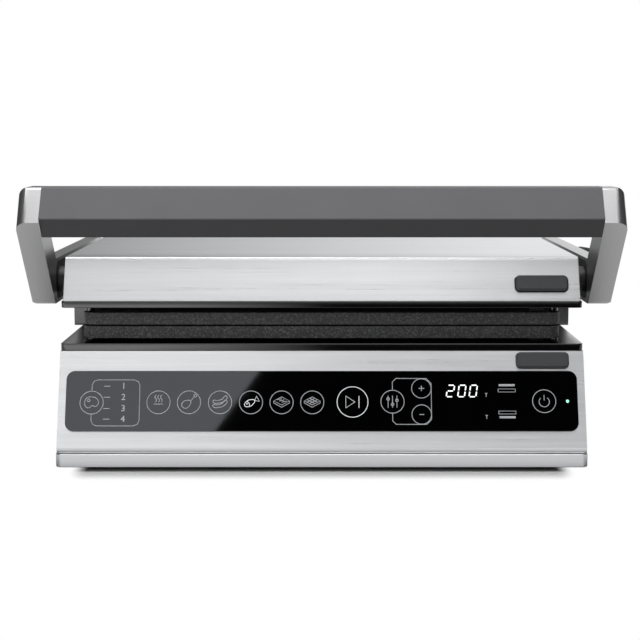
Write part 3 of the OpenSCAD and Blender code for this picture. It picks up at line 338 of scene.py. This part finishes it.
skirt_steel = brushed("brushed_stainless_skirt", "#d6d7d9", "#cbccce", 0.30, 0.40, 0.06)
sheet_steel = brushed("brushed_stainless_304", "#d7d8da", "#cbccce", 0.26, 0.36, 0.06)
dress(sheet_steel, "base_shell")
eased_copy("base_skirt", "skirt_sheet", "base", skirt_steel, 0.5 * MM)


# ---------- Screws, pins and springs ----------
# Turned and pressed steel, zinc plated: bright, slightly bluish grey, with the soft mottle of the plating.
# The screws hold the pan and the lid frame, and a leaf spring behind each button pushes it back out.
def plain_metal(name, light, dark, rough, size):
    """Unbrushed metal with a slight mottle of a given size in metres."""
    material, tree = new_material(name)
    place = add(tree, "TexCoord")
    mottle = add(tree, "TexNoise", {}, {"Vector": place.outputs["Object"], "Scale": 1 / size, "Detail": 4.0})
    colour = add(tree, "Mix", {"data_type": "RGBA"},
                 {0: mottle.outputs[0], 6: linear(dark), 7: linear(light)})
    gloss = add(tree, "MapRange", {},
                {"Value": mottle.outputs[0], "To Min": rough - 0.06, "To Max": rough + 0.06})
    metal = add(tree, "BsdfPrincipled", {},
                {"Base Color": colour.outputs[2], "Metallic": 1.0, "Roughness": gloss.outputs[0]})
    bump = add(tree, "Bump", {}, {"Height": mottle.outputs[0], "Strength": 0.06, "Distance": 0.0003})
    tree.links.new(bump.outputs[0], metal.inputs["Normal"])
    add(tree, "OutputMaterial", {}, {"Surface": metal.outputs[0]})
    return material


zinc = plain_metal("zinc_plated_steel", "#b9babc", "#abacae", 0.3, 0.003)
dress(zinc, "base_screws", "lid_screws", "grip_screws", "hinge_pin_left", "hinge_pin_right", "lever_pin",
      "pivot_bolt_left", "pivot_bolt_right", "lower_latch", "upper_latch", "grip_core")

# Each leaf spring gives by the 3 mm that its button goes in, towards its rear end, which is held; here each
# is an eased copy with a mesh of its own
lower_leaf = eased_copy("lower_button_spring", "lower_leaf_spring", "base", zinc,
                        0.05 * MM, clamp=True)
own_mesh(lower_leaf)
upper_leaf = eased_copy("upper_button_spring", "upper_leaf_spring", "lid", zinc,
                        0.05 * MM, clamp=True)
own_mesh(upper_leaf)


# ---------- Deck ----------
# The black top plate of the base, moulded in glossy PBT with eased edges. It carries the lower plate, and
# its front edge shows as a thin black line above the panel.
gloss_black = moulded("black_gloss_pbt", "#060607", "#040405", 0.1, 0.002, 0.01, 0.6)
eased_copy("base_deck", "deck", "base", gloss_black, 0.5 * MM)


# ---------- Control glass ----------
# One sheet of toughened glass printed black on its back, bonded on the panel. Its face is a mirror to
# whatever stands in front, so half of it shows the soft box and half stays black.
glass = moulded("black_backed_glass", "#020202", "#010101", 0.03, 0.01, 0.0, 1.0, "#f3f7ff")
eased_copy("control_glass", "control_glass_sheet", "base", glass, 0.25 * MM)
board = moulded("green_circuit_board", "#1f4a35", "#19402d", 0.35, 0.002, 0.1)
dress(board, "touch_board", "power_board")
dress(moulded("white_display_block", "#d8d8d8", "#cfcfcf", 0.4, 0.002, 0.05), "display_block")
dress(moulded("lamp_lens", "#9fe3c4", "#93d8b9", 0.2, 0.002, 0.0), "power_lamp")


# ---------- Marks, display and lamp on the glass ----------
# Touch marks screen printed in pale grey ink, each in its ring, with four numbered cooking levels. The
# level display and the lamp shine through clear windows in the black, so these two give light. The
# printed marks are given a faint glow as well, brighter on the chosen fish and the start mark: a painted
# glow.
# Places on the glass are in millimetres from its middle: X to the right and V up its slope.
glass_middle = Vector((0, -143.144, 46.5)) * MM
glass_slope = math.radians(69.1)
glass_thickness = 1.1 * MM
on_glass = (Matrix.Translation(glass_middle) @ Matrix.Rotation(glass_slope, 4, "X")
            @ Matrix.Translation((0, 0, glass_thickness)))
ink_width = 0.5 * MM
mark_radius = 7.9
dot_radius = 0.9
mark_row = -1.0
level_rows = (10.2, 2.5, -5.3, -12.6)
meat_x, heat_x, drumstick_x, sausage_x, fish_x = -157.0, -111.4, -90.6, -69.4, -48.3
sandwich_x, waffle_x, start_x, own_x, step_x = -27.4, -6.5, 21.0, 48.3, 68.1
plate_x, power_x, lamp_x = 112.3, 151.8, 167.7


def glowing_ink(name, light, dark, strength):
    """Ink that glows at a set strength, with a faint unevenness in its colour. On the display and the lamp
    window the glow is their light; on the printed marks it is a painted glow.
    """
    material, tree = new_material(name)
    place = add(tree, "TexCoord")
    mottle = add(tree, "TexNoise", {}, {"Vector": place.outputs["Object"], "Scale": 400.0, "Detail": 2.0})
    uneven = add(tree, "Mix", {"data_type": "RGBA"},
                 {0: mottle.outputs[0], 6: linear(dark), 7: linear(light)})
    ink = add(tree, "BsdfPrincipled", {},
              {"Base Color": uneven.outputs[2], "Roughness": 0.35, "Emission Color": uneven.outputs[2],
               "Emission Strength": strength})
    add(tree, "OutputMaterial", {}, {"Surface": ink.outputs[0]})
    return material


def printed(name, lines, width, material):
    """Lines of one width, each (closed, smooth, points in mm), printed flat on the glass as one piece."""
    art = bpy.data.curves.new(name, "CURVE")
    art.dimensions = "3D"
    art.bevel_depth = width / 2
    art.bevel_resolution = 0
    art.use_fill_caps = True
    for closed, smooth_line, points in lines:
        line = art.splines.new("BEZIER")
        line.bezier_points.add(len(points) - 1)
        line.use_cyclic_u = closed
        line.resolution_u = 6 if smooth_line else 1
        for knot, (x, v) in zip(line.bezier_points, points):
            knot.co = (x * MM, v * MM, 0)
            knot.handle_left_type = knot.handle_right_type = "AUTO" if smooth_line else "VECTOR"
    piece = bpy.data.objects.new(name, art)
    bpy.context.scene.collection.objects.link(piece)
    pick(piece)
    bpy.ops.object.convert(target="MESH")
    settle(piece, material)


def settle(piece, material):
    """Flattens a mark to a film of ink, lays it on the glass and makes it part of the base."""
    piece.data.transform(on_glass @ Matrix.Diagonal((1, 1, 0.12, 1)))
    wear(piece, material)
    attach(piece, "base")


def ring(x, v, radius):
    """A circle round a place on the glass, through twelve points."""
    return True, True, [(x + radius * math.cos(math.tau * k / 12), v + radius * math.sin(math.tau * k / 12))
                        for k in range(12)]


def stroke(*points):
    """An open line with sharp corners."""
    return False, False, list(points)


def placed(x, v, closed, smooth_line, points):
    """A line of a symbol drawn about its own middle, moved to its place."""
    return closed, smooth_line, [(x + a, v + b) for a, b in points]


def turned(points, degrees):
    """A symbol's points turned about its own middle."""
    c, n = math.cos(math.radians(degrees)), math.sin(math.radians(degrees))
    return [(c * x - n * v, n * x + c * v) for x, v in points]


# Cut of meat, joined by a frame to the four levels
steak = [(-4.6, 0.6), (-3.2, 3.4), (0.2, 3.9), (3.6, 2.6), (4.6, -0.4), (2.8, -2.6), (0.4, -2.2),
         (-2.2, -3.6), (-4.3, -2.2)]
pale = [ring(meat_x, -1.2, mark_radius), placed(meat_x, -1.2, True, True, steak),
        ring(-159.0, 0.4, dot_radius)]
pale += [stroke((meat_x, 7.0), (meat_x, 11.0), (-155.8, 13.6), (-153.2, 14.6), (-128.3, 14.6),
                (-125.4, 13.4), (-124.3, 10.6), (-124.3, -13.3), (-125.4, -16.1), (-128.3, -17.3),
                (-153.2, -17.3), (-155.8, -16.2), (meat_x, -13.6), (meat_x, -9.4))]
pale += [stroke((-149.0, v), (-144.6, v)) for v in level_rows]

# Strong heat: three wisps over a line
pale += [ring(heat_x, mark_row, mark_radius)]
pale += [placed(heat_x + x, 1.6, False, True, [(0, -2.4), (0.7, -1.0), (-0.6, 0.8), (0.2, 2.6)])
         for x in (-1.9, 0.0, 1.9)]
pale += [stroke((-114.6, -2.2), (-108.2, -2.2))]

# Drumstick
drumstick = [(-4.6, -2.8), (-4.2, 0.0), (-1.4, 1.4), (1.2, 0.6), (0.6, -1.8), (-1.6, -4.0)]
pale += [ring(drumstick_x, mark_row, mark_radius), placed(drumstick_x, mark_row, True, True, drumstick),
         ring(-86.4, 3.6, dot_radius), stroke((-89.8, -0.4), (-87.0, 3.0))]

# Two sausages, and the ring of the fish beside them
sausage = [(-4.6, -0.6), (-4.6, 0.8), (-2.6, 0.6), (1.4, 1.6), (3.6, 3.8), (4.8, 3.2), (3.4, 0.6),
           (0.0, -1.0)]
pale += [ring(sausage_x, mark_row, mark_radius), ring(fish_x, mark_row, mark_radius)]
pale += [placed(sausage_x, v, True, True, sausage) for v in (-0.4, -3.4)]

# Sandwich and waffle: a slab each, one with wavy lines and one with a grid
slab_top = [(-5.4, 0.8), (0.0, 3.6), (5.4, 0.8), (0.0, -2.0)]
slab_side = [(-5.4, 0.8), (-5.4, -0.6), (0.0, -3.6), (5.4, -0.6), (5.4, 0.8)]
for middle in (sandwich_x, waffle_x):
    pale += [ring(middle, mark_row, mark_radius), placed(middle, -0.8, True, False, slab_top),
             placed(middle, -0.8, False, False, slab_side)]
pale += [placed(sandwich_x + x, -0.1 - 0.5 * x, False, True,
                [(-1.6, 0.0), (-0.2, 0.5), (0.6, 0.4), (1.8, 1.0)])
         for x in (-1.7, 0.0, 1.7)]
for slant in (-0.93, 0.93):
    far_end = 3.6 if slant < 0 else -2.0
    pale += [placed(waffle_x, -0.8, False, False,
                    [(-5.4 + 1.8 * k, 0.8 + slant * k), (0.0 + 1.8 * k, far_end + slant * k)])
             for k in (1, 2)]

# Own settings: three sliders, joined by a frame to more and less
pale += [ring(own_x, -0.5, mark_radius)]
pale += [stroke((own_x + x, -4.7), (own_x + x, 3.7)) for x in (-3.0, 0.0, 3.0)]
pale += [ring(own_x + x, v, dot_radius) for x, v in ((-3.0, 1.4), (0.0, -2.4), (3.0, 0.4))]
pale += [stroke((own_x, 7.7), (own_x, 13.2), (50.7, 15.6), (71.4, 15.6), (74.8, 12.2), (74.8, -12.8),
                (71.4, -16.2), (50.7, -16.2), (own_x, -13.8), (own_x, -8.7))]
step_radius = 6.65
pale += [ring(step_x, 8.7, step_radius), ring(step_x, -9.4, step_radius), stroke((66.2, 8.7), (70.0, 8.7)),
         stroke((step_x, 6.8), (step_x, 10.6)), stroke((66.5, -9.4), (69.7, -9.4))]

# Upper and lower plate: a small T and an empty bar each, beside the full bar
pale += [stroke((plate_x, v), (plate_x, v + 2.4)) for v in (2.8, -12.4)]
pale += [stroke((plate_x - 0.8, v + 2.4), (plate_x + 0.8, v + 2.4)) for v in (2.8, -12.4)]
pale += [(True, False, [(120.6, top), (132.3, top), (132.3, foot), (120.6, foot)])
         for top, foot in ((8.3, 6.2), (-7.0, -9.0))]

# Power mark: an open circle with a stroke in its gap
pale += [ring(power_x, -0.2, mark_radius), stroke((power_x, 0.4), (power_x, 4.2))]
power_radius = 3.5
pale += [(False, True, [(power_x + power_radius * math.sin(math.radians(a)),
                         -0.6 + power_radius * math.cos(math.radians(a))) for a in range(38, 330, 28)])]
# The printed marks and level numbers get a faint painted glow from this ink
pale_ink_painted_glow = glowing_ink("pale_grey_screen_ink_painted_glow", "#adb1b5", "#a1a5a9", 0.23)
printed("touch_marks", pale, ink_width, pale_ink_painted_glow)
printed("level_bars", [stroke((121.0, v), (131.9, v)) for v in (10.85, -11.35)], 1.7 * MM, pale_ink_painted_glow)

# The fish of the chosen programme and the start mark glow brighter than the rest: a painted glow
fish = [(-4.8, 0.0), (-2.4, 2.0), (0.8, 1.7), (2.8, 0.0), (0.8, -1.7), (-2.4, -2.0)]
tail = [(2.8, 0.0), (5.4, 2.1), (5.4, -2.1)]
gill = [(-2.2, 1.9), (-1.4, 0), (-2.2, -1.9)]
fish_tilt = 28
start_radius = 10.5
bright = [placed(fish_x, mark_row, True, True, turned(fish, fish_tilt)),
          placed(fish_x, mark_row, True, False, turned(tail, fish_tilt)),
          ring(-51.0, -2.0, 0.25), placed(fish_x, mark_row, False, True, turned(gill, fish_tilt))]
bright += [ring(start_x, -0.7, start_radius), (True, False, [(16.4, 3.4), (16.4, -4.8), (22.6, -0.7)]),
           stroke((25.4, 3.4), (25.4, -4.8))]
# A brighter painted glow for the fish and the start mark
bright_ink_painted_glow = glowing_ink("bright_screen_ink_painted_glow", "#d9dde0", "#cbcfd2", 0.52)
printed("start_mark", bright, ink_width, bright_ink_painted_glow)

# Plain level numbers, as bold as the marks
number_x = -135.4
number_size = 6.2 * MM
for number, v in zip("1234", level_rows):
    bpy.ops.object.select_all(action="DESELECT")
    bpy.ops.object.text_add()
    figure = bpy.context.object
    figure.name = "level_number_" + number
    figure.data.body = number
    figure.data.size = number_size
    figure.data.align_x = figure.data.align_y = "CENTER"
    figure.data.extrude = 0.2 * MM
    bpy.ops.object.convert(target="MESH")
    figure.data.transform(Matrix.Translation((number_x * MM, v * MM, 0)))
    settle(figure, pale_ink_painted_glow)

# Seven-segment display, leaning to the right: a bar for each lit segment of 200
display_light = glowing_ink("white_display_light", "#f8fafb", "#eaeced", 0.95)
wide, half, tall = 4.6, 4, 8
segment_ends = {"a": ((0, tall), (wide, tall)), "b": ((wide, tall), (wide, half)),
                "c": ((wide, half), (wide, 0)), "d": ((0, 0), (wide, 0)), "e": ((0, half), (0, 0)),
                "f": ((0, tall), (0, half)), "g": ((0, half), (wide, half))}
segment_gap = 0.12
lean = 0.16
foot_of_figures = 2.9
bars = []
for left, lit in ((85.0, "abged"), (92.8, "abcdef"), (100.6, "abcdef")):
    for segment in lit:
        (x0, v0), (x1, v1) = segment_ends[segment]
        gap_x, gap_v = segment_gap * (x1 - x0), segment_gap * (v1 - v0)
        ends = ((x0 + gap_x, v0 + gap_v), (x1 - gap_x, v1 - gap_v))
        bars.append(stroke(*[(left + x + lean * v, foot_of_figures + v) for x, v in ends]))
printed("display_figures", bars, 0.85 * MM, display_light)

# The lamp's window: a low dome in the glass
bpy.ops.object.select_all(action="DESELECT")
bpy.ops.mesh.primitive_uv_sphere_add(segments=24, ring_count=12, radius=1.1 * MM)
lamp_window = bpy.context.object
lamp_window.name = "lamp_window"
lamp_window.data.transform(Matrix.Translation((lamp_x * MM, -0.2 * MM, 0)))
bpy.ops.object.shade_smooth()
settle(lamp_window, glowing_ink("green_lamp_light", "#a5edcd", "#98e0c0", 0.85))


# ---------- Grill plates ----------
# Die-cast aluminium, ribbed, under a dark non-stick coating sprayed on in two coats. The second coat
# leaves a fine pale speckle, and the blasted metal below gives the surface a dry grain.
coating, tree = new_material("speckled_nonstick")
place = add(tree, "TexCoord")
# The real specks are 0.3 mm across; they are drawn at 0.8 mm, so that they show
specks = add(tree, "TexVoronoi", {"feature": "F1"},
             {"Vector": place.outputs["Object"], "Scale": 1 / (0.8 * MM)})
each_speck = add(tree, "SeparateColor", {}, {0: specks.outputs["Color"]})
bright_speck = add(tree, "MapRange", {},
                   {"Value": each_speck.outputs[0], "From Min": 0.62, "From Max": 0.95})
clouded = add(tree, "TexNoise", {}, {"Vector": place.outputs["Object"], "Scale": 40.0, "Detail": 3.0})
coat = add(tree, "Mix", {"data_type": "RGBA"},
           {0: clouded.outputs[0], 6: linear("#262627"), 7: linear("#343435")})
flecked = add(tree, "Mix", {"data_type": "RGBA"},
              {0: bright_speck.outputs[0], 6: coat.outputs[2], 7: linear("#5b5b5c")})
dry = add(tree, "MapRange", {}, {"Value": each_speck.outputs[1], "To Min": 0.48, "To Max": 0.62})
film = add(tree, "BsdfPrincipled", {},
           {"Base Color": flecked.outputs[2], "Roughness": dry.outputs[0], "Specular IOR Level": 0.4})
grit = add(tree, "Bump", {}, {"Height": each_speck.outputs[0], "Strength": 0.25, "Distance": 0.0002})
tree.links.new(grit.outputs[0], film.inputs["Normal"])
add(tree, "OutputMaterial", {}, {"Surface": film.outputs[0]})
eased_copy("lower_plate", "lower_grill_plate", "base", coating, 0.4 * MM)
eased_copy("upper_plate", "upper_grill_plate", "lid", coating, 0.4 * MM)


# ---------- Heating elements, reflectors, sensors and grease chute ----------
# Elements in a nickel alloy sheath, burnt to a brown grey, each in a pressed pan of aluminised steel by
# its plate. A brass can holds each heat sensor, and a chute of the pan's steel leads fat to the tray.
sheath = plain_metal("heater_sheath_nickel_alloy", "#6e6860", "#5d5750", 0.5, 0.003)
dress(sheath, "lower_heater", "upper_heater")
aluminised = plain_metal("aluminised_steel", "#bfc1c3", "#b0b2b4", 0.35, 0.004)
dress(aluminised, "lower_reflector", "upper_reflector", "grease_chute")
dress(plain_metal("sensor_brass", "#c8b27a", "#b39d66", 0.35, 0.003), "lower_sensor", "upper_sensor")


# ---------- Drip tray ----------
# The tray that catches fat slides out at the back. It is moulded in the same black glass-filled nylon as
# the pan, with a pull lip across its face, and runs on two guides.
eased_copy("drip_tray", "drip_tray_box", "drip_tray", nylon, 0.4 * MM, clamp=True)


# ---------- Hinge brackets, pins and bushes ----------
# Black castings bolted to the base's sides carry a steel pin each, and the arms turn on those in bushes
# of sintered bronze. The castings are stove enamelled, which leaves them half glossy.
enamel = moulded("black_stove_enamel", "#1a1a1b", "#141415", 0.2, 0.002, 0.04, 0.9)
for side in ("left", "right"):
    eased_copy("hinge_bracket_" + side, "bracket_" + side, "base", enamel, 0.6 * MM,
               clamp=True)
bronze = plain_metal("sintered_bronze", "#c9a06a", "#b38c58", 0.45, 0.0015)
dress(bronze, "hinge_bush_left", "hinge_bush_right", "pivot_bush_left", "pivot_bush_right")


# ---------- Arms ----------
# Zinc die castings, blasted and satin lacquered. The outer upper edge is a broad round, the lower one
# a smaller round, and the other edges are just eased.
satin_zinc = plain_metal("satin_lacquered_zinc", "#a3a3a4", "#9a9a9b", 0.34, 0.0012)
for side in ("left", "right"):
    eased_copy("arm_" + side, "cast_arm_" + side, "arm_frame", satin_zinc, 0.6 * MM,
               clamp=True)
dress(satin_zinc, "pivot_cap_left", "pivot_cap_right")
# The black of the covers on the arms' inner faces is partly their own colour and partly a painted shade for
# the gap between arm and lid
dress(nylon, "arm_cover_left", "arm_cover_right")


# ---------- Grip ----------
# Soft matt nylon, moulded in one length over the steel core and screwed between the arms. A crisp ridge
# runs along its front, and the face below it turns down to the table and stays dark.
grip_nylon = moulded("soft_matt_grip_nylon", "#666668", "#606062", 0.5, 0.0006, 0.12, 0.1)
grip_bar = eased_copy("grip", "grip_bar", "arm_frame", grip_nylon, 0.4 * MM, 50)
# The photographed lid has no dark band where it would mirror the grip, so reflections leave the grip out
grip_bar.visible_glossy = False
# The black pivot housings fill the gap between lid and arm: partly their own colour, partly a painted shade
dress(nylon, "release_lever", "pivot_housing_left", "pivot_housing_right")


# ---------- Lid ----------
# A cover of stainless sheet, folded and brushed from side to side, is clipped over a bezel moulded in
# the deck's glossy black. The bezel's lower edge shows as a dark band above the plates.
eased_copy("lid_frame", "lid_bezel", "lid", gloss_black, 0.4 * MM)
# The lid's steel is the panel's sheet steel painted a shade darker: a painted shade over the whole cover
lid_steel_painted_darker = brushed("brushed_stainless_lid_painted_darker", "#c6c7c9", "#bbbcbe", 0.26, 0.36, 0.06)
eased_copy("lid_cover", "lid_sheet", "lid", lid_steel_painted_darker, 0.4 * MM, 50)


# ---------- Eject buttons ----------
# Charcoal ABS caps, moulded with a fine texture and a rounded rim. They stand proud of the sheet, and
# pressing one draws back the latch that holds its plate.
abs_button = moulded("charcoal_abs_button", "#3b3c3f", "#35363a", 0.4, 0.0006, 0.1)
eased_copy("lower_eject_button", "lower_button_cap", "lower_button", abs_button, 0.4 * MM)
eased_copy("upper_eject_button", "upper_button_cap", "upper_button", abs_button, 0.4 * MM)
